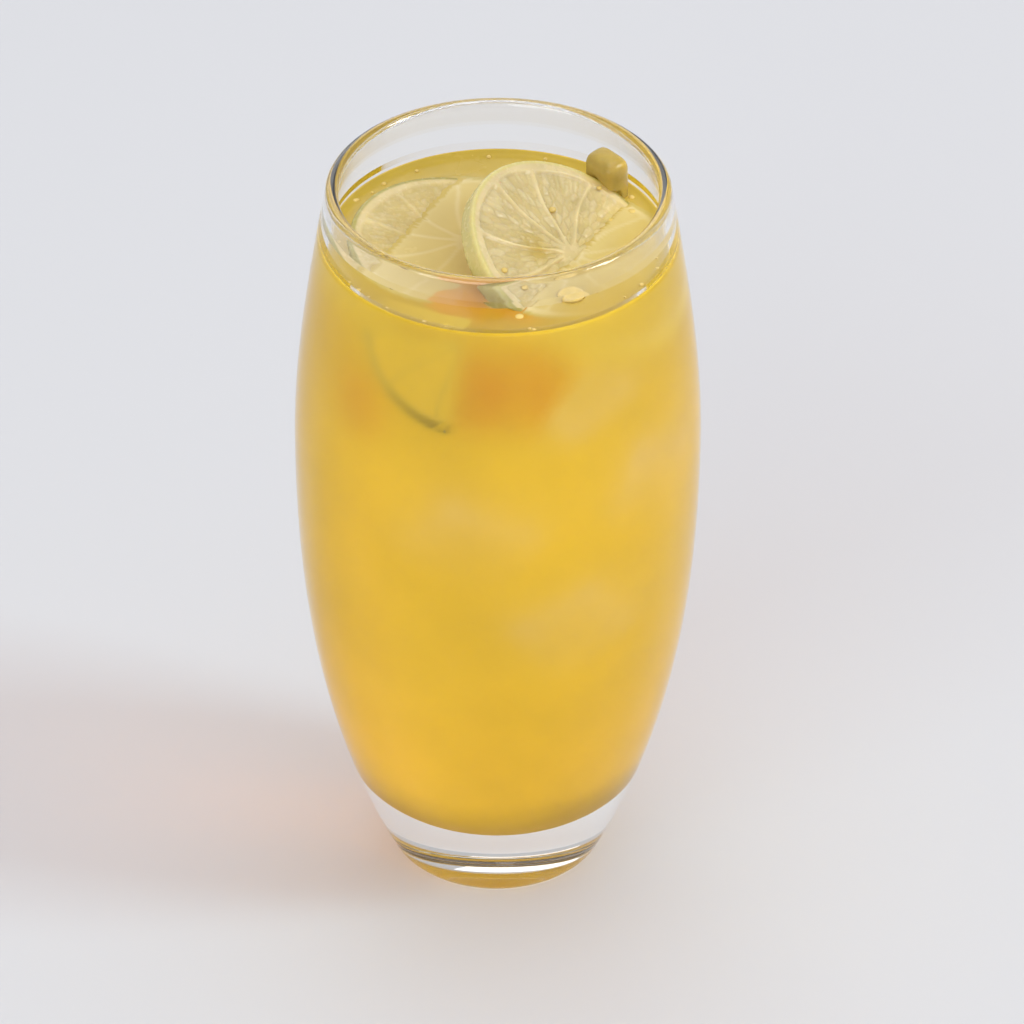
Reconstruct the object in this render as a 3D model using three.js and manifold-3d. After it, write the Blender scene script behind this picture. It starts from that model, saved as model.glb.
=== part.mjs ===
// A glass of iced lime drink: barrel tumbler, drink, two lime wheels and an ice cube.
// Millimetres, +Z up, origin in the middle of the foot on the surface it stands on.

import * as THREE from 'three';
import { mergeVertices } from 'three/addons/utils/BufferGeometryUtils.js';
import { RoundedBoxGeometry } from 'three/addons/geometries/RoundedBoxGeometry.js';
import Module from 'manifold-3d';

const wasm = await Module();
wasm.setup();

// Tumbler
const glassHeight = 145;
const rimRadius = 30.7; // outside, at the lip
const bellyRadius = 37; // outside, at the widest level
const bellyHeight = 91.5;
const footRadius = 19; // before its edge is rounded
const footRounding = 2.7;
const shoulderFullness = 0.52; // how early the wall turns in above the belly
const flankFullness = -0.49; // how late it turns in below the belly
const wall = 2.4;
const floorHeight = 14; // clear glass under the drink
const bowlHeight = 15; // rounded corner above the floor
const bowlPower = 2.2; // 2 is an ellipse, more is squarer
const turns = 48; // facets round every turned piece
const outerSteps = 16;
const innerSteps = 13;
const arcSteps = 5;

// Drink
const drinkLevel = 133.2;
const meniscusRise = 0.8;
const meniscusWidth = 2.4;
const clearance = 0.3; // between pieces that touch

// Lime wheels
const wheelThickness = 4.2;
const wheelEdgeRounding = 0.6;
const wheelSegments = 10;
const rindWidth = 2.9; // skin and pith
const coreRadius = 2.2;
const membraneWidth = 0.9;
const pulpDepth = 0.45; // flesh lies this far below the membranes
const pulpShoulder = 0.93; // where a segment's straight sides end, as a share of its reach
const pulpCorner = 0.82; // share of a segment's spread that is round at its outer end
const rightWheel = { radius: 20.5, at: [12.2, -4.1, 132.3], lean: 32, leanTowards: -29, spin: 9 };
const leftWheel = { radius: 21, at: [-6.2, 0.6, 129.3], lean: 12, leanTowards: -29, spin: 24 };

// Ice cube that breaks the surface
const cubeSize = [5.5, 7.5, 15.5];
const cubeRounding = 1.9;
const cubeAt = [19.6, 16.9, 133.9];
const cubeTurns = [5, -7, 43]; // degrees about X, Y and Z

const degrees = THREE.MathUtils.degToRad;

// Welded copy of a geometry with collapsed triangles dropped and its faces pointing out.
function welded(geometry) {
  const bare = geometry.clone();
  bare.deleteAttribute('normal');
  bare.deleteAttribute('uv');
  const merged = mergeVertices(bare, 1e-4);
  const corners = merged.index.array;
  const points = merged.attributes.position;
  const kept = [];
  const a = new THREE.Vector3();
  const b = new THREE.Vector3();
  const c = new THREE.Vector3();
  let volume = 0;
  for (let i = 0; i < corners.length; i += 3) {
    const [p, q, r] = corners.slice(i, i + 3);
    if (p === q || q === r || r === p) continue;
    kept.push([p, q, r]);
    a.fromBufferAttribute(points, p);
    b.fromBufferAttribute(points, q);
    c.fromBufferAttribute(points, r);
    volume += a.dot(b.cross(c));
  }
  const facing = volume > 0 ? kept : kept.map(([p, q, r]) => [p, r, q]);
  merged.setIndex(facing.flat());
  return merged;
}

function toSolid(geometry) {
  const closed = welded(geometry);
  return new wasm.Manifold(new wasm.Mesh({
    numProp: 3,
    vertProperties: new Float32Array(closed.attributes.position.array),
    triVerts: new Uint32Array(closed.index.array),
  }));
}

// Geometry of the largest body of a solid.
function toGeometry(solid) {
  const bodies = solid.decompose();
  const largest = bodies.reduce((best, body) => (body.volume() > best.volume() ? body : best));
  const mesh = largest.getMesh();
  const geometry = new THREE.BufferGeometry();
  geometry.setAttribute('position', new THREE.BufferAttribute(mesh.vertProperties, 3));
  geometry.setIndex(new THREE.BufferAttribute(mesh.triVerts, 1));
  geometry.computeVertexNormals();
  return geometry;
}

// Solid turned about Z from a profile of [radius, height] points that starts and ends on the axis.
function turned(profile) {
  const points = profile.map(([radius, z]) => new THREE.Vector2(radius, z));
  return new THREE.LatheGeometry(points, turns).rotateX(Math.PI / 2);
}

function evenly(from, to, steps) {
  return Array.from({ length: steps + 1 }, (_, i) => from + ((to - from) * i) / steps);
}

// Outside radius of the tumbler at a height, without the rounding of its foot.
function outerRadius(z) {
  const above = Math.max(0, (z - bellyHeight) / (glassHeight - bellyHeight));
  const below = Math.max(0, (bellyHeight - z) / bellyHeight);
  const shoulder = (bellyRadius - rimRadius) * above ** 2 * (1 + shoulderFullness * (1 - above));
  const flank = (bellyRadius - footRadius) * below ** 2 * (1 + flankFullness * (1 - below));
  return bellyRadius - shoulder - flank;
}

// Inside radius, closing to the axis over the rounded bowl floor.
function innerRadius(z, inset = 0) {
  const straight = outerRadius(z) - wall - inset;
  const depth = Math.max(0, (floorHeight + inset + bowlHeight - z) / bowlHeight);
  return straight * Math.max(0, 1 - depth ** bowlPower) ** (1 / bowlPower);
}

// Heights of the bowl, closer together towards the floor.
function bowlHeights(inset = 0) {
  return evenly(0, Math.PI / 2, arcSteps + 1)
    .map((angle) => floorHeight + inset + bowlHeight * (1 - Math.cos(angle)));
}

function glassGeometry() {
  const lipRadius = wall / 2;
  const lipHeight = glassHeight - lipRadius;
  const lipCentre = outerRadius(lipHeight) - lipRadius;
  const foot = evenly(-Math.PI / 2, 0, arcSteps - 1).map((angle) => [
    outerRadius(footRounding * (1 + Math.sin(angle))) - footRounding * (1 - Math.cos(angle)),
    footRounding * (1 + Math.sin(angle)),
  ]);
  const outside = evenly(footRounding, lipHeight, outerSteps).slice(1, -1).map((z) => [outerRadius(z), z]);
  const lip = evenly(0, Math.PI, arcSteps + 1)
    .map((angle) => [lipCentre + lipRadius * Math.cos(angle), lipHeight + lipRadius * Math.sin(angle)]);
  const bowl = bowlHeights();
  const inside = [...bowl.slice(1), ...evenly(bowl.at(-1), lipHeight, innerSteps).slice(1, -1)]
    .reverse()
    .map((z) => [innerRadius(z), z]);
  return turned([[0, 0], ...foot, ...outside, ...lip, ...inside, [0, floorHeight]]);
}

// Drink up to its level, with the surface climbing a little at the wall.
function drinkGeometry() {
  const bowl = bowlHeights(clearance);
  const top = drinkLevel + meniscusRise;
  const side = [...bowl.slice(1), ...evenly(bowl.at(-1), top, innerSteps).slice(1)]
    .map((z) => [innerRadius(z, clearance), z]);
  const edge = innerRadius(top, clearance);
  const surface = evenly(0, 1, 3).slice(1).map((inward) => [
    edge - meniscusWidth * inward,
    drinkLevel + meniscusRise * (1 - inward) ** 2,
  ]);
  return turned([[0, bowl[0]], ...side, ...surface, [0, drinkLevel]]);
}

// Plain round slice, grown on every side by a margin.
function sliceGeometry(radius, margin = 0) {
  const half = wheelThickness / 2 + margin;
  const edge = radius + margin;
  const corner = evenly(0, Math.PI / 2, 2).map((angle) => [
    edge - wheelEdgeRounding * (1 - Math.sin(angle)),
    half - wheelEdgeRounding * (1 - Math.cos(angle)),
  ]);
  const lower = corner.map(([r, z]) => [r, -z]);
  return turned([[0, -half], ...lower, ...corner.reverse(), [0, half]]);
}

// Pocket of one pulp segment, a wedge between two membranes.
function pulpPocket(radius, index) {
  const outer = radius - rindWidth;
  const half = Math.PI / wheelSegments;
  const spread = half - Math.asin(membraneWidth / 2 / outer);
  const shoulder = new THREE.Vector2(pulpShoulder * outer, 0).rotateAround(new THREE.Vector2(), spread);
  const outline = new THREE.Shape();
  outline.moveTo(coreRadius, 0);
  outline.lineTo(shoulder.x, -shoulder.y);
  outline.absarc(0, 0, outer, -pulpCorner * spread, pulpCorner * spread, false);
  outline.lineTo(shoulder.x, shoulder.y);
  outline.closePath();
  const depth = pulpDepth + 1;
  const pocket = new THREE.ExtrudeGeometry(outline, { depth, bevelEnabled: false, curveSegments: 3 });
  return pocket.rotateZ(2 * half * index);
}

// Lime wheel with its flesh sunk between the membranes on both faces.
function wheelGeometry(radius) {
  const face = wheelThickness / 2 - pulpDepth;
  let wheel = toSolid(sliceGeometry(radius));
  for (let i = 0; i < wheelSegments; i += 1) {
    const pocket = pulpPocket(radius, i);
    wheel = wheel.subtract(toSolid(pocket.clone().translate(0, 0, face)));
    wheel = wheel.subtract(toSolid(pocket.clone().rotateX(Math.PI).translate(0, 0, -face)));
  }
  return toGeometry(wheel);
}

// Leaning by an angle towards a compass direction, after a spin about its own axis.
function wheelPlacement({ at, lean, leanTowards, spin }) {
  const heading = degrees(leanTowards);
  const hinge = new THREE.Vector3(-Math.sin(heading), Math.cos(heading), 0);
  const turn = new THREE.Quaternion().setFromAxisAngle(hinge, degrees(lean));
  const roll = new THREE.Quaternion().setFromAxisAngle(new THREE.Vector3(0, 0, 1), degrees(spin));
  const trueSize = new THREE.Vector3(1, 1, 1);
  return new THREE.Matrix4().compose(new THREE.Vector3(...at), turn.multiply(roll), trueSize);
}

function cubeGeometry(margin = 0) {
  const size = cubeSize.map((side) => side + 2 * margin);
  const cube = new RoundedBoxGeometry(...size, 2, cubeRounding + margin);
  const turn = new THREE.Euler(...cubeTurns.map(degrees), 'ZYX');
  const place = new THREE.Matrix4().makeRotationFromEuler(turn).setPosition(...cubeAt);
  return cube.applyMatrix4(place);
}

// Room that a wheel needs in the drink and the ice.
function wheelRoom(wheel) {
  return toSolid(sliceGeometry(wheel.radius, clearance).applyMatrix4(wheelPlacement(wheel)));
}

function node(name, geometry, material) {
  const mesh = new THREE.Mesh(geometry, new THREE.MeshStandardMaterial(material));
  mesh.name = name;
  return mesh;
}

function wheelNode(name, wheel) {
  const mesh = node(name, wheelGeometry(wheel.radius), { color: 0xdbcb8c, roughness: 0.35, metalness: 0 });
  wheelPlacement(wheel).decompose(mesh.position, mesh.quaternion, mesh.scale);
  return mesh;
}

const wheelRooms = [rightWheel, leftWheel].map(wheelRoom);
const cube = wheelRooms.reduce((solid, room) => solid.subtract(room), toSolid(cubeGeometry()));
const drink = [...wheelRooms, toSolid(cubeGeometry(clearance))]
  .reduce((solid, room) => solid.subtract(room), toSolid(drinkGeometry()));

const part = new THREE.Group();
part.add(
  node('glass', welded(glassGeometry()), {
    color: 0xeef0ea, roughness: 0.03, metalness: 0, transparent: true, opacity: 0.35,
  }),
  node('drink', toGeometry(drink), { color: 0xe4ba42, roughness: 0.08, metalness: 0 }),
  wheelNode('lime_wheel_right', rightWheel),
  wheelNode('lime_wheel_left', leftWheel),
  node('ice_cube', toGeometry(cube), { color: 0xdcc070, roughness: 0.1, metalness: 0 }),
);

export default part;
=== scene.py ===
import math

import bmesh
import bpy
import numpy as np
from mathutils import Euler, Matrix, Vector
from mathutils.bvhtree import BVHTree


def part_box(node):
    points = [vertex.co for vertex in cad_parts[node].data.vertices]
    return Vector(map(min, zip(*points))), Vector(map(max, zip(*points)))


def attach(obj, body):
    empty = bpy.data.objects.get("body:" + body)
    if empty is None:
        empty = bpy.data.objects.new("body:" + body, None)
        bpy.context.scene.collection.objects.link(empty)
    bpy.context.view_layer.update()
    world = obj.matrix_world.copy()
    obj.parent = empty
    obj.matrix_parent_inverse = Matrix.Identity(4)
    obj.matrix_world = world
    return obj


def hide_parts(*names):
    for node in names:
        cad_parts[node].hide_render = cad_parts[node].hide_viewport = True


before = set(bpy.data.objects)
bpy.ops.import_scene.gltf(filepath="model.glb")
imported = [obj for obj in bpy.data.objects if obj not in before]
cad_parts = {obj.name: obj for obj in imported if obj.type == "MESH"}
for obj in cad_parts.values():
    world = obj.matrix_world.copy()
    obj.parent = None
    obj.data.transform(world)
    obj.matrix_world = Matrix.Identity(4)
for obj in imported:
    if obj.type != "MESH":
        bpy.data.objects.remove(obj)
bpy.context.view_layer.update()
mm = 0.001  # sizes are given in millimetres, meshes are in metres
print("frame loaded:", ", ".join(sorted(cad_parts)))


# small helpers for meshes

def smoothStep(low, high, x):
    t = np.clip((x - low) / (high - low), 0, 1)
    return t * t * (3 - 2 * t)


def ringFaces(rows, turns):
    # rows of points between two single points on the axis, wound to face outwards
    start = 1 + np.arange(rows - 1)[:, None] * turns
    here = np.arange(turns)[None]
    ahead = (here + 1) % turns
    quads = np.stack([start + here, start + ahead, start + turns + ahead, start + turns + here], -1)
    last = 1 + rows * turns
    faces = quads.reshape(-1, 4).tolist()
    faces += [[0, 1 + (i + 1) % turns, 1 + i] for i in range(turns)]
    faces += [[last, last - turns + i, last - turns + (i + 1) % turns] for i in range(turns)]
    return faces


def turnedPoints(profile, turns):
    # profile of (radius, height) from the axis to the axis
    angle = np.linspace(0, 2 * math.pi, turns, endpoint=False)
    ring = np.stack([np.cos(angle), np.sin(angle)], 1)
    rows = [np.column_stack([ring * radius, np.full(turns, height)]) for radius, height in profile[1:-1]]
    return np.concatenate([[[0, 0, profile[0][1]]], *rows, [[0, 0, profile[-1][1]]]])


def newPiece(name, points, faces, slotName, *materials):
    mesh = bpy.data.meshes.new(name)
    mesh.from_pydata((np.asarray(points) * mm).tolist(), [], faces)
    for material in materials:
        mesh.materials.append(material)
    mesh.update()
    mesh.shade_smooth()
    piece = bpy.data.objects.new(name, mesh)
    bpy.context.scene.collection.objects.link(piece)
    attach(piece, "root")
    return piece


def pointValues(piece, name, values):
    values = np.asarray(values, dtype=np.float32)
    kind = "FLOAT" if values.ndim == 1 else "FLOAT_COLOR"
    attribute = piece.data.attributes.new(name, kind, "POINT")
    attribute.data.foreach_set("value" if values.ndim == 1 else "color", values.ravel())


def joinParts(parts):
    # several (points, faces) as one
    points, faces, count = [], [], 0
    for some, theirs in parts:
        points.append(some)
        faces += [[i + count for i in face] for face in theirs]
        count += len(some)
    return np.concatenate(points), faces


# small helpers for materials

def fromScreen(red, green, blue):
    # a colour as it looks on screen, as light values
    share = np.array([red, green, blue]) / 255
    return np.where(share <= 0.04045, share / 12.92, ((share + 0.055) / 1.055) ** 2.4)


def rgba(colour):
    return (*[float(c) for c in colour], 1.0)


def newMaterial(name):
    material = bpy.data.materials.new(name)
    material.use_nodes = True
    tree = material.node_tree
    tree.nodes.clear()
    output = tree.nodes.new("ShaderNodeOutputMaterial")
    shader = tree.nodes.new("ShaderNodeBsdfPrincipled")
    tree.links.new(shader.outputs["BSDF"], output.inputs["Surface"])
    return material, tree, shader, output


def newNode(tree, kind, settings=None, inputs=None):
    node = tree.nodes.new(kind)
    for name, value in (settings or {}).items():
        setattr(node, name, value)
    for name, value in (inputs or {}).items():
        node.inputs[name].default_value = value
    return node


def readAttribute(tree, name):
    return newNode(tree, "ShaderNodeAttribute", {"attribute_name": name})


def mixColour(tree, factor, first, second):
    # first and second are sockets or light values
    mix = newNode(tree, "ShaderNodeMix", {"data_type": "RGBA"})
    for socket, value in ((mix.inputs[0], factor), (mix.inputs[6], first), (mix.inputs[7], second)):
        if isinstance(value, bpy.types.NodeSocket):
            tree.links.new(value, socket)
        elif np.ndim(value):
            socket.default_value = rgba(value)
        else:
            socket.default_value = value
    return mix.outputs[2]


def newGroup(name, sockets):
    # sockets: (name, in or out, kind, default)
    group = bpy.data.node_groups.new(name, "ShaderNodeTree")
    for label, side, kind, default in sockets:
        where = "INPUT" if side == "in" else "OUTPUT"
        socket = group.interface.new_socket(label, in_out=where, socket_type=kind)
        if default is not None:
            socket.default_value = default
    entry = group.nodes.new("NodeGroupInput")
    leave = group.nodes.new("NodeGroupOutput")
    return group, entry, leave


def placeGroup(tree, group, **inputs):
    node = tree.nodes.new("ShaderNodeGroup")
    node.node_tree = group
    for name, value in inputs.items():
        if isinstance(value, bpy.types.NodeSocket):
            tree.links.new(value, node.inputs[name])
        else:
            node.inputs[name].default_value = value
    return node


# shared effects

def makeCloudGroup():
    # soft uneven patches that lighten and darken a colour
    colourKind, valueKind = "NodeSocketColor", "NodeSocketFloat"
    group, entry, leave = newGroup("cloudyPatches", [
        ("Colour", "in", colourKind, (0.8, 0.8, 0.8, 1)),
        ("Scale", "in", valueKind, 60.0),
        ("Amount", "in", valueKind, 0.2),
        ("Colour", "out", colourKind, None),
    ])
    where = group.nodes.new("ShaderNodeTexCoord")
    cloud = newNode(group, "ShaderNodeTexNoise", inputs={"Detail": 3.0, "Roughness": 0.55})
    evenOut = {"From Min": 0.3, "From Max": 0.7, "To Min": -1.0, "To Max": 1.0}
    spread = newNode(group, "ShaderNodeMapRange", inputs=evenOut)
    gain = newNode(group, "ShaderNodeMath", {"operation": "MULTIPLY_ADD"})
    gain.inputs[2].default_value = 1.0
    scale = newNode(group, "ShaderNodeVectorMath", {"operation": "SCALE"})
    link = group.links.new
    link(where.outputs["Object"], cloud.inputs["Vector"])
    link(entry.outputs["Scale"], cloud.inputs["Scale"])
    link(cloud.outputs["Fac"], spread.inputs["Value"])
    link(spread.outputs["Result"], gain.inputs[0])
    link(entry.outputs["Amount"], gain.inputs[1])
    link(entry.outputs["Colour"], scale.inputs[0])
    link(gain.outputs[0], scale.inputs["Scale"])
    link(scale.outputs["Vector"], leave.inputs["Colour"])
    return group


def makeWetGroup():
    # a wet film: roughness that wanders and a fine uneven height
    valueKind = "NodeSocketFloat"
    group, entry, leave = newGroup("wetFilm", [
        ("Scale", "in", valueKind, 300.0),
        ("Wettest", "in", valueKind, 0.05),
        ("Driest", "in", valueKind, 0.3),
        ("Roughness", "out", valueKind, None),
        ("Height", "out", valueKind, None),
    ])
    where = group.nodes.new("ShaderNodeTexCoord")
    film = newNode(group, "ShaderNodeTexNoise", inputs={"Detail": 4.0, "Roughness": 0.6})
    spread = newNode(group, "ShaderNodeMapRange", inputs={"From Min": 0.35, "From Max": 0.7})
    link = group.links.new
    link(where.outputs["Object"], film.inputs["Vector"])
    link(entry.outputs["Scale"], film.inputs["Scale"])
    link(film.outputs["Fac"], spread.inputs["Value"])
    link(entry.outputs["Wettest"], spread.inputs["To Min"])
    link(entry.outputs["Driest"], spread.inputs["To Max"])
    link(spread.outputs["Result"], leave.inputs["Roughness"])
    link(film.outputs["Fac"], leave.inputs["Height"])
    return group


cloudyPatches = makeCloudGroup()
wetFilm = makeWetGroup()


def bumpFrom(tree, shader, height, strength, distance):
    bump = newNode(tree, "ShaderNodeBump", inputs={"Strength": strength, "Distance": distance * mm})
    tree.links.new(height, bump.inputs["Height"])
    tree.links.new(bump.outputs["Normal"], shader.inputs["Normal"])


# the tumbler

glassLow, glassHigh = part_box("glass")
tumbler = {
    "height": glassHigh[2] / mm,
    "bellyRadius": glassHigh[0] / mm,
    "bellyHeight": 91.5,
    "rimRadius": 30.7,
    "footRadius": 19.0,
    "footRounding": 2.7,
    "shoulderFullness": 0.52,
    "flankFullness": -0.49,
    "wall": 2.4,
    "floor": 14.0,
    "bowl": 15.0,
    "bowlPower": 2.2,
    "puntRadius": 14.5,  # shallow hollow under the foot
    "puntDepth": 2.2,
    "rimFrom": 134.4,  # clear wall above the drink
    "lipFrom": 140.0,
    "zones": {"clearGlass": (1.42, 0.0), "clearRim": (1.18, 0.0), "clearLip": (1.4, 1.0)},  # bending, polish
    "through": (0.96, 0.96, 0.95),  # lamp light that comes through
    "turns": 176,
    "footSteps": 12,
    "puntSteps": 14,
    "sideSteps": 110,
    "lipSteps": 18,
    "bowlSteps": 26,
    "insideSteps": 90,
}


def outerRadius(z):
    t = tumbler
    above = np.maximum(0, (z - t["bellyHeight"]) / (t["height"] - t["bellyHeight"]))
    below = np.maximum(0, (t["bellyHeight"] - z) / t["bellyHeight"])
    shoulder = (t["bellyRadius"] - t["rimRadius"]) * above ** 2 * (1 + t["shoulderFullness"] * (1 - above))
    flank = (t["bellyRadius"] - t["footRadius"]) * below ** 2 * (1 + t["flankFullness"] * (1 - below))
    return t["bellyRadius"] - shoulder - flank


def innerRadius(z, inset=0.0):
    t = tumbler
    depth = np.maximum(0, (t["floor"] + inset + t["bowl"] - z) / t["bowl"])
    straight = outerRadius(z) - t["wall"] - inset
    return straight * np.maximum(0, 1 - depth ** t["bowlPower"]) ** (1 / t["bowlPower"])


def bowlHeights(inset, steps):
    angle = np.linspace(0, math.pi / 2, steps)[1:]
    return tumbler["floor"] + inset + tumbler["bowl"] * (1 - np.cos(angle))


def makeTumbler():
    t = tumbler
    lip = t["wall"] / 2
    lipHeight = t["height"] - lip
    lipMiddle = outerRadius(lipHeight) - lip
    bend = np.linspace(-math.pi / 2, 0, t["footSteps"])
    footHeight = t["footRounding"] * (1 + np.sin(bend))
    foot = np.column_stack([outerRadius(footHeight) - t["footRounding"] * (1 - np.cos(bend)), footHeight])
    inPunt = np.linspace(0, 1, t["puntSteps"])[1:]
    punt = np.column_stack([t["puntRadius"] * inPunt, t["puntDepth"] * (1 - inPunt ** 2) ** 1.5])
    side = np.linspace(t["footRounding"], lipHeight, t["sideSteps"])[1:-1]
    over = np.linspace(0, math.pi, t["lipSteps"])
    bowl = bowlHeights(0, t["bowlSteps"])
    above = np.linspace(bowl[-1], lipHeight, t["insideSteps"])[1:-1]
    inside = np.concatenate([bowl, above])[::-1]
    profile = [
        (0, t["puntDepth"]), *punt, *foot,
        *zip(outerRadius(side), side),
        *zip(lipMiddle + lip * np.cos(over), lipHeight + lip * np.sin(over)),
        *zip(innerRadius(inside), inside), (0, t["floor"]),
    ]
    points = turnedPoints(profile, t["turns"])
    faces = ringFaces(len(profile) - 2, t["turns"])
    materials = [clearGlass(name, *values) for name, values in t["zones"].items()]
    piece = newPiece("tumbler", points, faces, "glass", *materials)
    heights = np.array([points[face, 2].mean() for face in faces])
    zones = (heights > t["rimFrom"]).astype(np.int32) + (heights > t["lipFrom"])
    piece.data.polygons.foreach_set("material_index", zones)
    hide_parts("glass")
    return piece


def lampsThrough(tree, shader, output, colour):
    # lamps shine through in this colour, so that what is inside is lit and the shadow stays light
    path = tree.nodes.new("ShaderNodeLightPath")
    through = newNode(tree, "ShaderNodeBsdfTransparent", inputs={"Color": rgba(colour)})
    either = tree.nodes.new("ShaderNodeMixShader")
    tree.links.new(path.outputs["Is Shadow Ray"], either.inputs[0])
    tree.links.new(shader.outputs["BSDF"], either.inputs[1])
    tree.links.new(through.outputs["BSDF"], either.inputs[2])
    tree.links.new(either.outputs["Shader"], output.inputs["Surface"])


def clearGlass(name, bending, polish):
    material, tree, shader, output = newMaterial(name)
    shader.inputs["Base Color"].default_value = (1.0, 1.0, 0.99, 1)
    shader.inputs["Roughness"].default_value = 0.0
    shader.inputs["IOR"].default_value = bending
    shader.inputs["Transmission Weight"].default_value = 1.0
    shader.inputs["Coat Weight"].default_value = polish
    shader.inputs["Coat Roughness"].default_value = 0.12
    lampsThrough(tree, shader, output, tumbler["through"])
    return material


makeTumbler()
print("tumbler made")


# lime wheels

drinkLevel = 133.2
drinkColours = {
    # by height: darker towards the top, and lighter towards the bottom, which is painted light against the
    # shade of the downward-facing lower drink
    "high": np.array([0.63, 0.415, 0.024]),
    "middle": np.array([0.765, 0.495, 0.018]),
    "low": np.array([0.91, 0.56, 0.018]),
    "surface": np.array([0.45, 0.31, 0.037]),
    "shadedFrontSurface": np.array([0.39, 0.25, 0.015]),  # painted shade: the top is darker towards the front, which the fill lamp lights more than the back
    "orange": np.array([0.58, 0.20, 0.005]),
    "overIce": np.array([0.0, 0.035, 0.115]),  # added to the drink in front of ice
}
limeCut = {
    "thickness": 4.2,
    "edgeRounding": 0.6,
    "segments": 10,
    "rind": 2.1,  # skin and white pith
    "core": 1.9,
    "membrane": 0.38,
    "sink": 0.45,  # flesh below the membranes
    "uneven": 0.17,  # of a segment
    "softness": 2.2,  # how tightly a segment fills its room
    "sacRows": 2.2,
    "sacPitch": 1.35,
    "sacSize": (0.8, 1.9),  # across and along
    "sacReach": 3.2,
    "swell": 0.26,  # each juice sac stands up by this
    "curl": 0.22,  # of the whole slice
    "rings": 74,
    "spokes": 320,
    "edgeRows": 8,
    "pith": fromScreen(211, 193, 145),
    "flesh": fromScreen(205, 188, 142),
    "juicy": fromScreen(196, 176, 120),
    "green": fromScreen(132, 126, 50),
    "yellowGreen": fromScreen(206, 193, 128),
    "through": (0.72, 0.63, 0.32),  # lamp light that comes through a slice
}
wheels = {
    "lime_wheel_right": {
        "piece": "limeRight", "radius": 20.5, "at": (12.2, -4.1, 132.3),
        "lean": 32, "leanTowards": -29, "spin": 9, "skin": 0.9, "relief": 1.0, "seed": 3,
    },
    "lime_wheel_left": {
        "piece": "limeLeft", "radius": 21.0, "at": (-6.2, 0.6, 129.3),
        "lean": 12, "leanTowards": -29, "spin": 24, "skin": 0.9, "relief": 0.4, "seed": 8,
    },
}


def wheelPlacement(wheel):
    heading = math.radians(wheel["leanTowards"])
    hinge = Vector((-math.sin(heading), math.cos(heading), 0))
    turn = Matrix.Rotation(math.radians(wheel["lean"]), 4, hinge)
    spin = Matrix.Rotation(math.radians(wheel["spin"]), 4, "Z")
    return Matrix.Translation(wheel["at"]) @ turn @ spin


def cutGrid(wheel):
    # rings and spokes that fill a whole wheel, or a wedge of one opening about its own X
    spokes, radius = limeCut["spokes"], wheel["radius"]
    share = np.linspace(0, 1, limeCut["rings"])[1:, None] ** 0.85
    if "wedge" in wheel:
        half = math.radians(wheel["wedge"]) / 2
        bend = np.linspace(-half, half, 60)
        x, y = np.append(0, radius * np.cos(bend)), np.append(0, radius * np.sin(bend))
        x, y = np.append(x, 0), np.append(y, 0)
        along = np.append(0, np.cumsum(np.hypot(np.diff(x), np.diff(y))))
        at = np.linspace(0, along[-1], spokes, endpoint=False)
        outline = np.stack([np.interp(at, along, x), np.interp(at, along, y)], 1)
        middle = np.array([0.6 * radius, 0])
    else:
        angle = np.linspace(0, 2 * math.pi, spokes, endpoint=False)
        outline, middle = radius * np.stack([np.cos(angle), np.sin(angle)], 1), np.zeros(2)
    reach = np.linalg.norm(outline - middle, axis=1)[None]
    grid = middle + share[..., None] * (outline - middle)[None]
    return grid, (1 - share) * reach, middle


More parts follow.
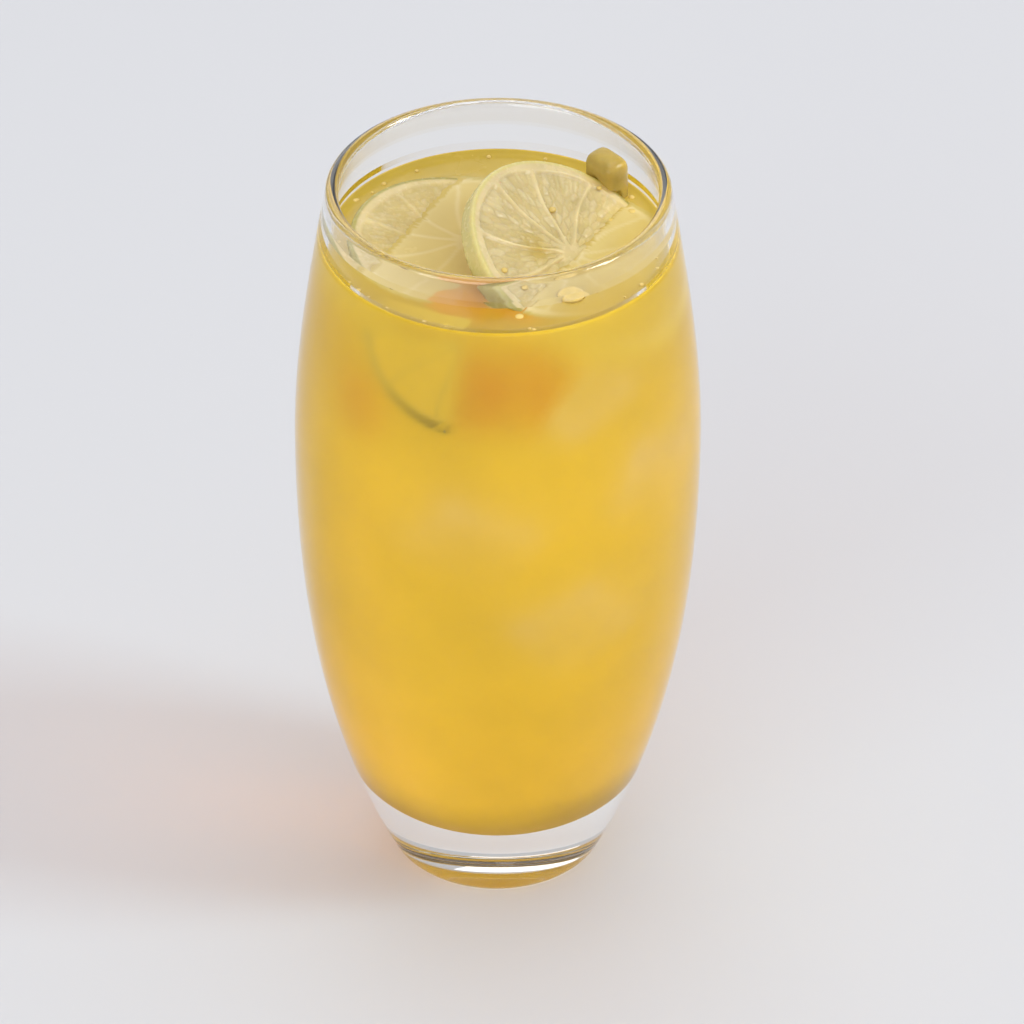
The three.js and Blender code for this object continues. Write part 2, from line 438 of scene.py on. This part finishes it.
def cutFace(wheel, draw):
    # height and zones of one cut face over its rings and spokes
    c, radius = limeCut, wheel["radius"]
    full = 2 * math.pi
    grid, toEdge, middle = cutGrid(wheel)
    r, a = np.hypot(grid[..., 0], grid[..., 1]), np.arctan2(grid[..., 1], grid[..., 0])
    shift = draw.uniform(-c["uneven"], c["uneven"], c["segments"])
    fan = (np.arange(c["segments"]) + shift) * full / c["segments"]
    bend = 0.05 * np.sin(0.3 * r + draw.uniform(0, full))
    off = np.abs((a + bend)[..., None] - fan) % full
    off = np.minimum(off, full - off).min(-1)
    wave = 0.3 * np.sin(3 * a + draw.uniform(0, full)) + 0.15 * np.sin(8 * a + draw.uniform(0, full))
    toMembrane = r * np.sin(np.minimum(off, math.pi / 2)) - c["membrane"] / 2
    toRind = radius - c["rind"] + wave - r
    toCore = r - c["core"] - 0.3 * np.sin(4 * a + draw.uniform(0, full))
    inside = -np.log(sum(np.exp(-c["softness"] * x) for x in (toMembrane, toRind, toCore))) / c["softness"]
    flesh = smoothStep(-0.2, 0.5, inside)
    # juice sacs, long towards the core
    nearest, second = np.full(r.shape, 9.0), np.full(r.shape, 9.0)
    tone = np.zeros(r.shape)
    for row in np.arange(c["core"] + 1.2, radius - c["sacRows"], c["sacRows"]):
        count = int(full * row / c["sacPitch"])
        around = (np.arange(count) + draw.uniform(-0.35, 0.35, count)) * full / count + draw.uniform(0, full)
        out = row + draw.uniform(-1.0, 1.0, count)
        tones = draw.uniform(0, 1, count)
        for sacAngle, sacRadius, sacTone in zip(around, out, tones):
            band = np.abs(r - sacRadius) < c["sacReach"]
            across = ((a[band] - sacAngle + math.pi) % full - math.pi) * r[band] / c["sacSize"][0]
            apart = np.hypot(across, (r[band] - sacRadius) / c["sacSize"][1])
            closer = apart < nearest[band]
            second[band] = np.where(closer, nearest[band], np.minimum(second[band], apart))
            tone[band] = np.where(closer, sacTone, tone[band])
            nearest[band] = np.where(closer, apart, nearest[band])
    sac = smoothStep(0, 0.45, second - nearest)
    rise = c["swell"] * (0.45 + 0.55 * tone) * sac * (1 - np.clip(nearest, 0, 1.3) ** 2 / 1.69)
    past = np.clip(c["edgeRounding"] - toEdge, 0, c["edgeRounding"])
    drop = c["edgeRounding"] - np.sqrt(c["edgeRounding"] ** 2 - past ** 2)
    green = radius - wheel["skin"]
    skin = smoothStep(green - 0.25, green + 0.25, r)
    values = {"flesh": flesh, "tone": tone * (0.35 + 0.65 * sac), "skin": skin}
    return grid, flesh * (rise - c["sink"]) * wheel["relief"] - drop, values, middle


def wheelMesh(wheel):
    draw = np.random.default_rng(wheel["seed"])
    half = limeCut["thickness"] / 2

    def facePoints(side):
        grid, height, values, middle = cutFace(wheel, draw)
        x, y = grid[..., 0], grid[..., 1]
        curl = limeCut["curl"] * (x * x - y * y) / wheel["radius"] ** 2
        return np.stack([x, y, side * (half + height) + curl], -1), values, [[*middle, side * half]]

    lower, lowerValues, lowerMiddle = facePoints(-1)
    upper, upperValues, upperMiddle = facePoints(1)
    share = np.linspace(0, 1, limeCut["edgeRows"])[1:-1, None]
    edge = lower[-1][None] * (1 - share[..., None]) + upper[-1][None] * share[..., None]
    grid = np.concatenate([lower, edge, upper[::-1]])
    points = np.concatenate([lowerMiddle, grid.reshape(-1, 3), upperMiddle])

    def gather(name):
        under, top = lowerValues[name], upperValues[name]
        rim = under[-1][None] * (1 - share) + top[-1][None] * share
        body = np.concatenate([under, rim, top[::-1]]).ravel()
        return np.concatenate([[under[0].mean()], body, [top[0].mean()]])

    place = np.array(wheelPlacement(wheel))
    points = points @ place[:3, :3].T + place[:3, 3]
    return points, ringFaces(len(grid), limeCut["spokes"]), {k: gather(k) for k in upperValues}


def limeFlesh():
    c = limeCut
    material, tree, shader, output = newMaterial("limeFlesh")
    names = ("flesh", "tone", "skin", "wet", "sunk")
    flesh, tone, skin, wet, sunk = [readAttribute(tree, name).outputs["Fac"] for name in names]
    sacs = mixColour(tree, tone, c["juicy"], c["flesh"])
    cut = mixColour(tree, flesh, c["pith"], sacs)
    patches = placeGroup(tree, cloudyPatches, Colour=cut, Scale=220.0, Amount=0.08)
    rindColour = mixColour(tree, sunk, c["yellowGreen"], c["green"])
    whole = mixColour(tree, skin, patches.outputs["Colour"], rindColour)
    stained = mixColour(tree, wet, whole, drinkColours["surface"])
    tree.links.new(stained, shader.inputs["Base Color"])
    film = placeGroup(tree, wetFilm, Scale=700.0, Wettest=0.1, Driest=0.4)
    tree.links.new(film.outputs["Roughness"], shader.inputs["Roughness"])
    bumpFrom(tree, shader, film.outputs["Height"], 0.12, 0.3)
    shader.inputs["IOR"].default_value = 1.38
    shader.inputs["Subsurface Weight"].default_value = 0.6
    shader.inputs["Subsurface Radius"].default_value = (1.0, 0.75, 0.3)
    shader.inputs["Subsurface Scale"].default_value = 2.0 * mm
    lampsThrough(tree, shader, output, c["through"])
    return material


def stainLime(piece, points):
    # the drink stains what stands near it and pools on the right wheel
    above = points[:, 2] - drinkLevel
    pooled = np.exp(-(np.linalg.norm(points - pool["at"], axis=1) / pool["reach"]) ** 2)
    stained = stain["depth"] * np.exp(-np.maximum(0, above) / stain["height"])
    pointValues(piece, "wet", np.maximum(stained, pool["depth"] * pooled))
    pointValues(piece, "sunk", smoothStep(stain["greenUpTo"], 0.0, above))


stain = {"depth": 0.45, "height": 1.5, "greenUpTo": 6.0}  # the rind is paler above that
pool = {"at": (7.1, -7.3, 136.6), "reach": 3.4, "depth": 0.75}
limeMaterial = limeFlesh()
wheelMeshes = {}
for name, wheel in wheels.items():
    points, faces, values = wheelMesh(wheel)
    piece = newPiece(wheel["piece"], points, faces, "lime", limeMaterial)
    for label, value in values.items():
        pointValues(piece, label, value)
    stainLime(piece, points)
    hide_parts(name)
    wheelMeshes[name] = (points, faces, values)
print("lime wheels made")


# ice that breaks the surface, worked up from its solid

surfaceIce = {
    "voxel": 0.4,
    "soften": 3,
    "colour": fromScreen(168, 146, 74),
    "through": (0.86, 0.78, 0.5),  # lamp light that comes through
}


def wetIce():
    material, tree, shader, output = newMaterial("wetIce")
    patches = placeGroup(tree, cloudyPatches, Colour=rgba(surfaceIce["colour"]), Scale=180.0, Amount=0.22)
    tree.links.new(patches.outputs["Colour"], shader.inputs["Base Color"])
    shader.inputs["IOR"].default_value = 1.31
    shader.inputs["Subsurface Weight"].default_value = 1.0
    shader.inputs["Subsurface Radius"].default_value = (1.0, 0.8, 0.5)
    shader.inputs["Subsurface Scale"].default_value = 4.0 * mm
    film = placeGroup(tree, wetFilm, Scale=180.0, Wettest=0.03, Driest=0.2)
    tree.links.new(film.outputs["Roughness"], shader.inputs["Roughness"])
    bumpFrom(tree, shader, film.outputs["Height"], 0.4, 0.6)
    lampsThrough(tree, shader, output, surfaceIce["through"])
    return material


iceMaterial = wetIce()


def makeSurfaceIce():
    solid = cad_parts["ice_cube"]
    piece = bpy.data.objects.new("floatingIce", solid.data.copy())
    bpy.context.scene.collection.objects.link(piece)
    remesh = piece.modifiers.new("melt", "REMESH")
    remesh.mode, remesh.voxel_size = "VOXEL", surfaceIce["voxel"] * mm
    soften = piece.modifiers.new("soften", "SMOOTH")
    soften.iterations = surfaceIce["soften"]
    done = piece.evaluated_get(bpy.context.evaluated_depsgraph_get())
    mesh = bpy.data.meshes.new_from_object(done)
    piece.modifiers.clear()
    piece.data = mesh
    mesh.materials.clear()
    mesh.materials.append(iceMaterial)
    mesh.shade_smooth()
    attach(piece, "root")
    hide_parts("ice_cube")
    return piece


makeSurfaceIce()
print("floating ice made")


# what is sunk in the drink

sunkCubes = [  # where they lie round the wall, in degrees, and how far behind it
    {"angle": -63, "height": 116.5, "behind": 4.4, "size": 16.5, "turn": (30, -20)},
    {"angle": -37, "height": 98.0, "behind": 3.6, "size": 17.0, "turn": (-20, 22)},
    {"angle": -66, "height": 71.0, "behind": 4.0, "size": 18.0, "turn": (32, 15)},
    {"angle": -98, "height": 92.0, "behind": 5.0, "size": 18.5, "turn": (-30, 24)},
]
sunkFruit = [  # orange flesh near the wall: half sizes inwards, along the wall and up
    {"angle": -88.0, "height": 120.4, "behind": 2.2, "size": (8.0, 11.0, 9.8)},
    {"angle": -107.0, "height": 128.6, "behind": 4.6, "size": (7.0, 7.5, 2.4)},
    {"angle": -135.5, "height": 112.0, "behind": 4.2, "size": (4.5, 5.0, 7.0)},
]
sunkWedge = {
    "radius": 18.3, "at": (-5.2, -26.6, 131.2), "lean": 75, "leanTowards": -118, "spin": -159,
    "skin": 1.8, "relief": 1.0, "wedge": 78, "seed": 15,
    "rindShows": (123, 113), "leastRind": 0.12,  # its upper end lies deeper
}
cubeRounding = 3.2
sunkBehind = {"wall": 0.6, "surface": 0.5}  # nothing sunk comes nearer than this


def besideWall(piece, depth):
    # a place behind the wall and the turn that faces it
    angle = math.radians(piece["angle"])
    out = innerRadius(piece["height"]) - piece["behind"] - depth
    at = Vector((out * math.cos(angle), out * math.sin(angle), piece["height"]))
    return at, Matrix.Rotation(angle, 3, "Z")


def heldInside(points):
    room = innerRadius(points[:, 2]) - sunkBehind["wall"]
    across = np.linalg.norm(points[:, :2], axis=1)
    points[:, :2] *= np.minimum(1, room / np.maximum(across, 1e-6))[:, None]
    points[:, 2] = np.minimum(points[:, 2], drinkLevel - sunkBehind["surface"])
    return points


def cubeMesh(cube):
    shape = bmesh.new()
    bmesh.ops.create_cube(shape, size=cube["size"])
    bmesh.ops.bevel(shape, geom=shape.edges[:], offset=cubeRounding, segments=4, profile=0.5, affect="EDGES")
    at, facing = besideWall(cube, cube["size"] / 2)
    turn = facing @ Euler([math.radians(v) for v in (*cube["turn"], 0)]).to_matrix()
    points = heldInside(np.array([turn @ v.co + at for v in shape.verts]))
    shape.verts.index_update()
    faces = [[v.index for v in face.verts] for face in shape.faces]
    shape.free()
    return points, faces


def lumpMesh(lump):
    shape = bmesh.new()
    bmesh.ops.create_icosphere(shape, subdivisions=5, radius=1)
    at, facing = besideWall(lump, lump["size"][0])
    points = []
    for v in shape.verts:
        x, y, z = v.co
        ripple = 1 + 0.08 * math.sin(5 * x + 2 * z) + 0.06 * math.sin(7 * y - 3 * x)
        points.append(facing @ Vector([s * c * ripple for s, c in zip(lump["size"], (x, y, z))]) + at)
    shape.verts.index_update()
    faces = [[v.index for v in face.verts] for face in shape.faces]
    shape.free()
    return heldInside(np.array(points)), faces


def fruitFlesh():
    material, tree, shader, _ = newMaterial("fruitFlesh")
    patches = placeGroup(tree, cloudyPatches, Colour=rgba(drinkColours["orange"]), Scale=260.0, Amount=0.3)
    tree.links.new(patches.outputs["Colour"], shader.inputs["Base Color"])
    shader.inputs["Roughness"].default_value = 0.4
    shader.inputs["Subsurface Weight"].default_value = 0.4
    shader.inputs["Subsurface Scale"].default_value = 2.0 * mm
    return material


iceMesh = joinParts([cubeMesh(cube) for cube in sunkCubes])
fruitMesh = joinParts([lumpMesh(lump) for lump in sunkFruit])
newPiece("sunkIce", *iceMesh, "ice", iceMaterial)
newPiece("sunkFruit", *fruitMesh, "drink", fruitFlesh())
slicePoints, sliceFaces, sliceValues = wheelMesh(sunkWedge)
slicePiece = newPiece("sunkLime", slicePoints, sliceFaces, "lime", limeMaterial)
for label, value in sliceValues.items():
    pointValues(slicePiece, label, value)
stainLime(slicePiece, slicePoints)
print("sunk pieces made")


# the drink

drink = {
    "reach": 0.2,  # into the wall of the glass
    "meniscusRise": 0.8,
    "meniscusWidth": 2.4,
    "limeClimb": 0.5,
    "limeClimbWidth": 0.8,
    "turns": 288,
    "bowlRows": 24,
    "sideRows": 190,
    "topRows": 48,
    "crowding": 1.3,  # of the top's rows towards the wall
    "highBetween": (95, 132),
    "lowBetween": (75, 18),
    "frontBetween": (-4, -22),
    "clearWay": 4.5,  # a sunk thing fades by this depth
    "clearWayTop": 2.8,
    "lookDown": 22,  # degrees
    "spread": 0.5,
    "spreadTop": 0.07,
    "looks": 12,
    "looksTurn": 2.4,
    "firstStep": 0.3,
    "farthest": 22.0,
    "shadow": (0.70, 0.40, 0.12),  # lamp light that comes through
}
limeInDrink = {  # how limes look through the drink
    # from above, the pith shows lighter than the flesh: partly its own paler colour, partly a painted
    # highlight of the wet film over it
    "fromAbove": {"pith": (0.64, 0.52, 0.25), "flesh": (0.58, 0.45, 0.17), "rind": (0.46, 0.36, 0.10)},
    "fromAside": {"pith": (0.74, 0.55, 0.11), "flesh": (0.72, 0.53, 0.09), "rind": (0.72, 0.52, 0.07)},
    "sunk": {"pith": (0.60, 0.42, 0.04), "flesh": (0.68, 0.465, 0.035), "rind": (0.30, 0.215, 0.013)},
}
limeInDrink = {kind: {k: np.array(v) for k, v in look.items()} for kind, look in limeInDrink.items()}


def sunkShapes(view):
    # everything under the surface with a colour for each of its faces
    parts = [iceMesh, fruitMesh]
    heights = np.array([iceMesh[0][face, 2].mean() for face in iceMesh[1]])
    colours = [plainDrink(heights) + drinkColours["overIce"]]
    colours.append(np.tile(drinkColours["orange"], (len(fruitMesh[1]), 1)))
    limes = [(*mesh, view) for mesh in wheelMeshes.values()]
    for points, faces, values, kind in [*limes, (slicePoints, sliceFaces, sliceValues, "sunk")]:
        first = np.array([face[0] for face in faces])
        flesh, skin = values["flesh"][first][:, None], values["skin"][first][:, None]
        look = limeInDrink[kind]
        colour = look["pith"] * (1 - flesh) + look["flesh"] * flesh
        if kind == "sunk":
            least, shows = sunkWedge["leastRind"], smoothStep(*sunkWedge["rindShows"], points[first, 2])
            skin = skin * (least + (1 - least) * shows)[:, None]
        parts.append((points, faces))
        colours.append(colour * (1 - skin) + look["rind"] * skin)
    points, faces = joinParts(parts)
    return BVHTree.FromPolygons(points.tolist(), faces), np.concatenate(colours)


def plainDrink(height):
    # lighter towards the bottom: painted light against the shade under the drink
    low, middle, high = (drinkColours[k] for k in ("low", "middle", "high"))
    up = smoothStep(*drink["highBetween"], height)[:, None]
    down = smoothStep(*drink["lowBetween"], height)[:, None]
    return middle * (1 - up) * (1 - down) + high * up + low * down * (1 - up)


def seenColours(points, onTop):
    # colour of the drink at its skin, with what lies behind showing through, and with the painted light and
    # shade of the drink's and limes' colours
    shapes = {True: sunkShapes("fromAbove"), False: sunkShapes("fromAside")}
    outward = points * (1, 1, 0)
    outward /= np.maximum(np.linalg.norm(outward, axis=1), 1e-6)[:, None]
    tilt = math.radians(drink["lookDown"])
    inwards = -outward * math.cos(tilt) - np.array([0, 0, math.sin(tilt)])
    look = np.where(onTop[:, None], (0, 0, -1.0), inwards)
    side = np.stack([-outward[:, 1], outward[:, 0], np.zeros(len(points))], 1)
    rise = np.cross(look, side)
    # painted shade: the top darkens towards the front
    near = smoothStep(*drink["frontBetween"], points[:, 1])[:, None]
    surface = drinkColours["surface"] * (1 - near) + drinkColours["shadedFrontSurface"] * near
    plain = np.where(onTop[:, None], surface, plainDrink(points[:, 2]))
    clearWay = np.where(onTop, drink["clearWayTop"], drink["clearWay"])
    spread = np.where(onTop, drink["spreadTop"], drink["spread"])[:, None]
    total = np.zeros_like(plain)
    for k in range(drink["looks"]):
        turn, reach = drink["looksTurn"] * k, spread * math.sqrt(k / drink["looks"])
        way = look + reach * (math.cos(turn) * side + math.sin(turn) * rise)
        way /= np.linalg.norm(way, axis=1)[:, None]
        start = points + way * drink["firstStep"]
        for i, (here, there) in enumerate(zip(start.tolist(), way.tolist())):
            tree, faceColours = shapes[bool(onTop[i])]
            face, depth = tree.ray_cast(here, there, drink["farthest"])[2:]
            if face is None:
                total[i] += plain[i]
                continue
            clear = math.exp(-depth / clearWay[i])
            total[i] += plain[i] * (1 - clear) + faceColours[face] * clear
    return total / drink["looks"]


def makeDrink():
    d = drink
    bowl = bowlHeights(-d["reach"], d["bowlRows"])
    brim = drinkLevel + d["meniscusRise"]
    side = np.concatenate([bowl, np.linspace(bowl[-1], brim, d["sideRows"])[1:]])
    edge = innerRadius(brim)
    inward = np.linspace(0, 1, d["topRows"])[1:-1] ** d["crowding"]
    climb = d["meniscusRise"] * np.maximum(0, 1 - inward * edge / d["meniscusWidth"]) ** 2
    profile = [
        (0, bowl[0]),
        *zip(innerRadius(side, -d["reach"]), side),
        *zip(edge * (1 - inward), drinkLevel + climb),
        (0, drinkLevel),
    ]
    points = turnedPoints(profile, d["turns"])
    onTop = np.arange(len(points)) > len(side) * d["turns"]
    # the surface climbs a little where it meets the limes
    limePoints, limeFaces = joinParts([mesh[:2] for mesh in wheelMeshes.values()])
    limes = BVHTree.FromPolygons(limePoints.tolist(), limeFaces)
    for i in np.flatnonzero(onTop):
        apart = limes.find_nearest(points[i].tolist())[3]
        points[i, 2] += d["limeClimb"] * math.exp(-apart / d["limeClimbWidth"])
    faces = ringFaces(len(profile) - 2, d["turns"])
    behind, surface = drinkMaterial("drinkBehindGlass", 0.1, False), drinkMaterial("drinkSurface", 0.35, True)
    piece = newPiece("drinkBody", points, faces, "drink", behind, surface)
    topFace = onTop[[face[-1] for face in faces]].astype(np.int32)
    piece.data.polygons.foreach_set("material_index", topFace)
    seen = seenColours(points, onTop)
    pointValues(piece, "seen", np.column_stack([seen, np.ones(len(seen))]))
    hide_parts("drink")
    return piece


def drinkMaterial(name, gloss, surface):
    material, tree, shader, output = newMaterial(name)
    seen = readAttribute(tree, "seen")
    patches = placeGroup(tree, cloudyPatches, Colour=seen.outputs["Color"], Scale=70.0, Amount=0.04)
    tree.links.new(patches.outputs["Colour"], shader.inputs["Base Color"])
    shader.inputs["IOR"].default_value = 1.34
    shader.inputs["Specular IOR Level"].default_value = gloss
    lampsThrough(tree, shader, output, drink["shadow"])
    if surface:
        film = placeGroup(tree, wetFilm, Scale=90.0, Wettest=0.1, Driest=0.3)
        tree.links.new(film.outputs["Roughness"], shader.inputs["Roughness"])
    else:
        shader.inputs["Roughness"].default_value = 0.5
    return material


makeDrink()
print("drink made")


# bubbles on the drink and on the raised wheel

bubbles = {
    # across, towards the back, and radius
    "onLime": [(9.6, 2.9, 0.7), (4.6, -16.7, 0.6), (1.1, -15.5, 0.6), (18.1, 12.8, 0.5)],
    "onDrink": [(20.2, 7.0, 0.9), (23.9, 10.4, 0.8), (3.7, -23.7, 0.8), (17.0, -15.4, 0.7)],
    "large": (12.7, -16.9, 2.5),
    "turns": 40,
    "flatness": {"onLime": 0.75, "onDrink": 0.55, "scattered": 0.7},
    "profile": [(0, -0.1), (1.0, 0.0), (0.95, 0.16), (0.84, 0.25), (0.7, 0.2), (0.45, 0.12), (0, 0.1)],
    "scattered": 26,  # tiny ones where the drink meets the glass
    "seed": 21,
}
fleck = {"at": (-18.0, -14.7, 133.2), "size": (1.2, 0.8, 0.5), "colour": fromScreen(138, 104, 40)}


def roundMesh(at, size, detail=3):
    shape = bmesh.new()
    bmesh.ops.create_icosphere(shape, subdivisions=detail, radius=1)
    points = np.array([v.co for v in shape.verts]) * size + np.array(at)
    shape.verts.index_update()
    faces = [[v.index for v in face.verts] for face in shape.faces]
    shape.free()
    return points, faces


def bubbleSkin():
    material, tree, shader, _ = newMaterial("bubbleSkin")
    patches = placeGroup(tree, cloudyPatches, Colour=rgba(fromScreen(208, 180, 102)), Scale=400.0, Amount=0.1)
    tree.links.new(patches.outputs["Colour"], shader.inputs["Base Color"])
    shader.inputs["Roughness"].default_value = 0.1
    shader.inputs["IOR"].default_value = 1.34
    return material


def fleckSkin():
    material, tree, shader, _ = newMaterial("fleckSkin")
    patches = placeGroup(tree, cloudyPatches, Colour=rgba(fleck["colour"]), Scale=900.0, Amount=0.3)
    tree.links.new(patches.outputs["Colour"], shader.inputs["Base Color"])
    shader.inputs["Roughness"].default_value = 0.3
    return material


def raisedFace(x, y):
    # height of the right wheel's upper face
    place = wheelPlacement(wheels["lime_wheel_right"])
    across, middle = place.to_3x3().col[2], place.translation
    aside = across.x * (x - middle.x) + across.y * (y - middle.y)
    return middle.z + (limeCut["thickness"] / 2 - aside) / across.z


def makeBubbles():
    draw = np.random.default_rng(bubbles["seed"])
    flat, turns = bubbles["flatness"], bubbles["turns"]
    parts = [roundMesh((x, y, raisedFace(x, y)), (r, r, flat["onLime"] * r)) for x, y, r in bubbles["onLime"]]
    parts += [roundMesh((x, y, drinkLevel), (r, r, flat["onDrink"] * r)) for x, y, r in bubbles["onDrink"]]
    x, y, r = bubbles["large"]
    ring = turnedPoints(bubbles["profile"], turns) * r + (x, y, drinkLevel + 0.1)
    parts.append((ring, ringFaces(len(bubbles["profile"]) - 2, turns)))
    for around, inward, size in draw.uniform(0, 1, (bubbles["scattered"], 3)):
        r, out = 0.25 + 0.3 * size, innerRadius(drinkLevel) - 1.0 - 1.6 * inward
        angle = 2 * math.pi * around
        at = out * math.cos(angle), out * math.sin(angle), drinkLevel + 0.1
        parts.append(roundMesh(at, (r, r, flat["scattered"] * r), 2))
    newPiece("bubbles", *joinParts(parts), "drink", bubbleSkin())
    newPiece("fruitFleck", *roundMesh(fleck["at"], fleck["size"]), "drink", fleckSkin())


makeBubbles()
print("bubbles made")


# floor, light and camera

studio = {
    "floor": (0.625, 0.627, 0.645),
    "floorReach": 3.0,
    "air": (0.93, 0.95, 1.0),
    "airStrength": 0.55,
    "aim": (0, 0, 0.07),
    "bounces": 20,
    "clearBounces": 12,
    "softboxes": {  # place, width, height and power
        "keyLight": ((1.9, -0.35, 1.7), 0.55, 1.0, 26.0),
        "topLight": ((0.05, 0.2, 1.7), 1.2, 1.2, 7.0),
        "fillLight": ((-1.2, -2.1, 1.3), 2.0, 1.8, 31.0),
        "backLight": ((-0.5, 2.3, 1.4), 2.0, 1.8, 11.0),
    },
}
photoView = {
    "target": (0, 0, 0.0725),
    "elevation": 35.256,
    "distance": 1.2,
    "focalPixels": 6526.9,
    "imagePixels": 1024,
    "targetPixel": (497.5, 520.2),
    "roll": 0.3,
}


def makeFloor():
    mesh = bpy.data.meshes.new("studioFloor")
    reach = studio["floorReach"]
    corners = [(-reach, -reach, 0), (reach, -reach, 0), (reach, reach, 0), (-reach, reach, 0)]
    mesh.from_pydata(corners, [], [(0, 1, 2, 3)])
    material, tree, shader, _ = newMaterial("paleFloor")
    shader.inputs["Base Color"].default_value = rgba(studio["floor"])
    shader.inputs["Roughness"].default_value = 0.6
    shader.inputs["Specular IOR Level"].default_value = 0.2
    mesh.materials.append(material)
    piece = bpy.data.objects.new("studioFloor", mesh)
    bpy.context.scene.collection.objects.link(piece)


def makeSoftbox(name, at, width, height, power):
    lamp = bpy.data.lights.new(name, "AREA")
    lamp.shape = "RECTANGLE"
    lamp.size, lamp.size_y, lamp.energy = width, height, power
    piece = bpy.data.objects.new(name, lamp)
    piece.location = at
    piece.rotation_euler = (Vector(studio["aim"]) - Vector(at)).to_track_quat("-Z", "Y").to_euler()
    bpy.context.scene.collection.objects.link(piece)


def makeCamera():
    v = photoView
    lens = bpy.data.cameras.new("photoCamera")
    lens.sensor_width = 36.0
    lens.lens = v["focalPixels"] * lens.sensor_width / v["imagePixels"]
    elevation = math.radians(v["elevation"])
    back = Vector((0, -math.cos(elevation), math.sin(elevation)))
    up = Vector((0, math.sin(elevation), math.cos(elevation)))
    perPixel = v["distance"] / v["focalPixels"]
    middle = v["imagePixels"] / 2
    aside = (middle - v["targetPixel"][0]) * perPixel
    above = (v["targetPixel"][1] - middle) * perPixel
    at = Vector(v["target"]) + back * v["distance"]
    aim = Vector(v["target"]) + Vector((aside, 0, 0)) + up * above
    piece = bpy.data.objects.new("photoCamera", lens)
    piece.location = at
    facing = (aim - at).to_track_quat("-Z", "Y").to_matrix()
    piece.rotation_euler = (facing @ Matrix.Rotation(math.radians(v["roll"]), 3, "Z")).to_euler()
    bpy.context.scene.collection.objects.link(piece)
    bpy.context.scene.camera = piece


def makeWorld():
    world = bpy.data.worlds.new("studioAir")
    world.use_nodes = True
    background = world.node_tree.nodes["Background"]
    background.inputs["Color"].default_value = rgba(studio["air"])
    background.inputs["Strength"].default_value = studio["airStrength"]
    bpy.context.scene.world = world


makeFloor()
makeWorld()
for name, softbox in studio["softboxes"].items():
    makeSoftbox(name, *softbox)
makeCamera()
scene = bpy.context.scene
scene.view_settings.view_transform = "Standard"
scene.cycles.max_bounces = studio["bounces"]
scene.cycles.transmission_bounces = studio["bounces"]
scene.cycles.transparent_max_bounces = studio["clearBounces"]
print("studio made")
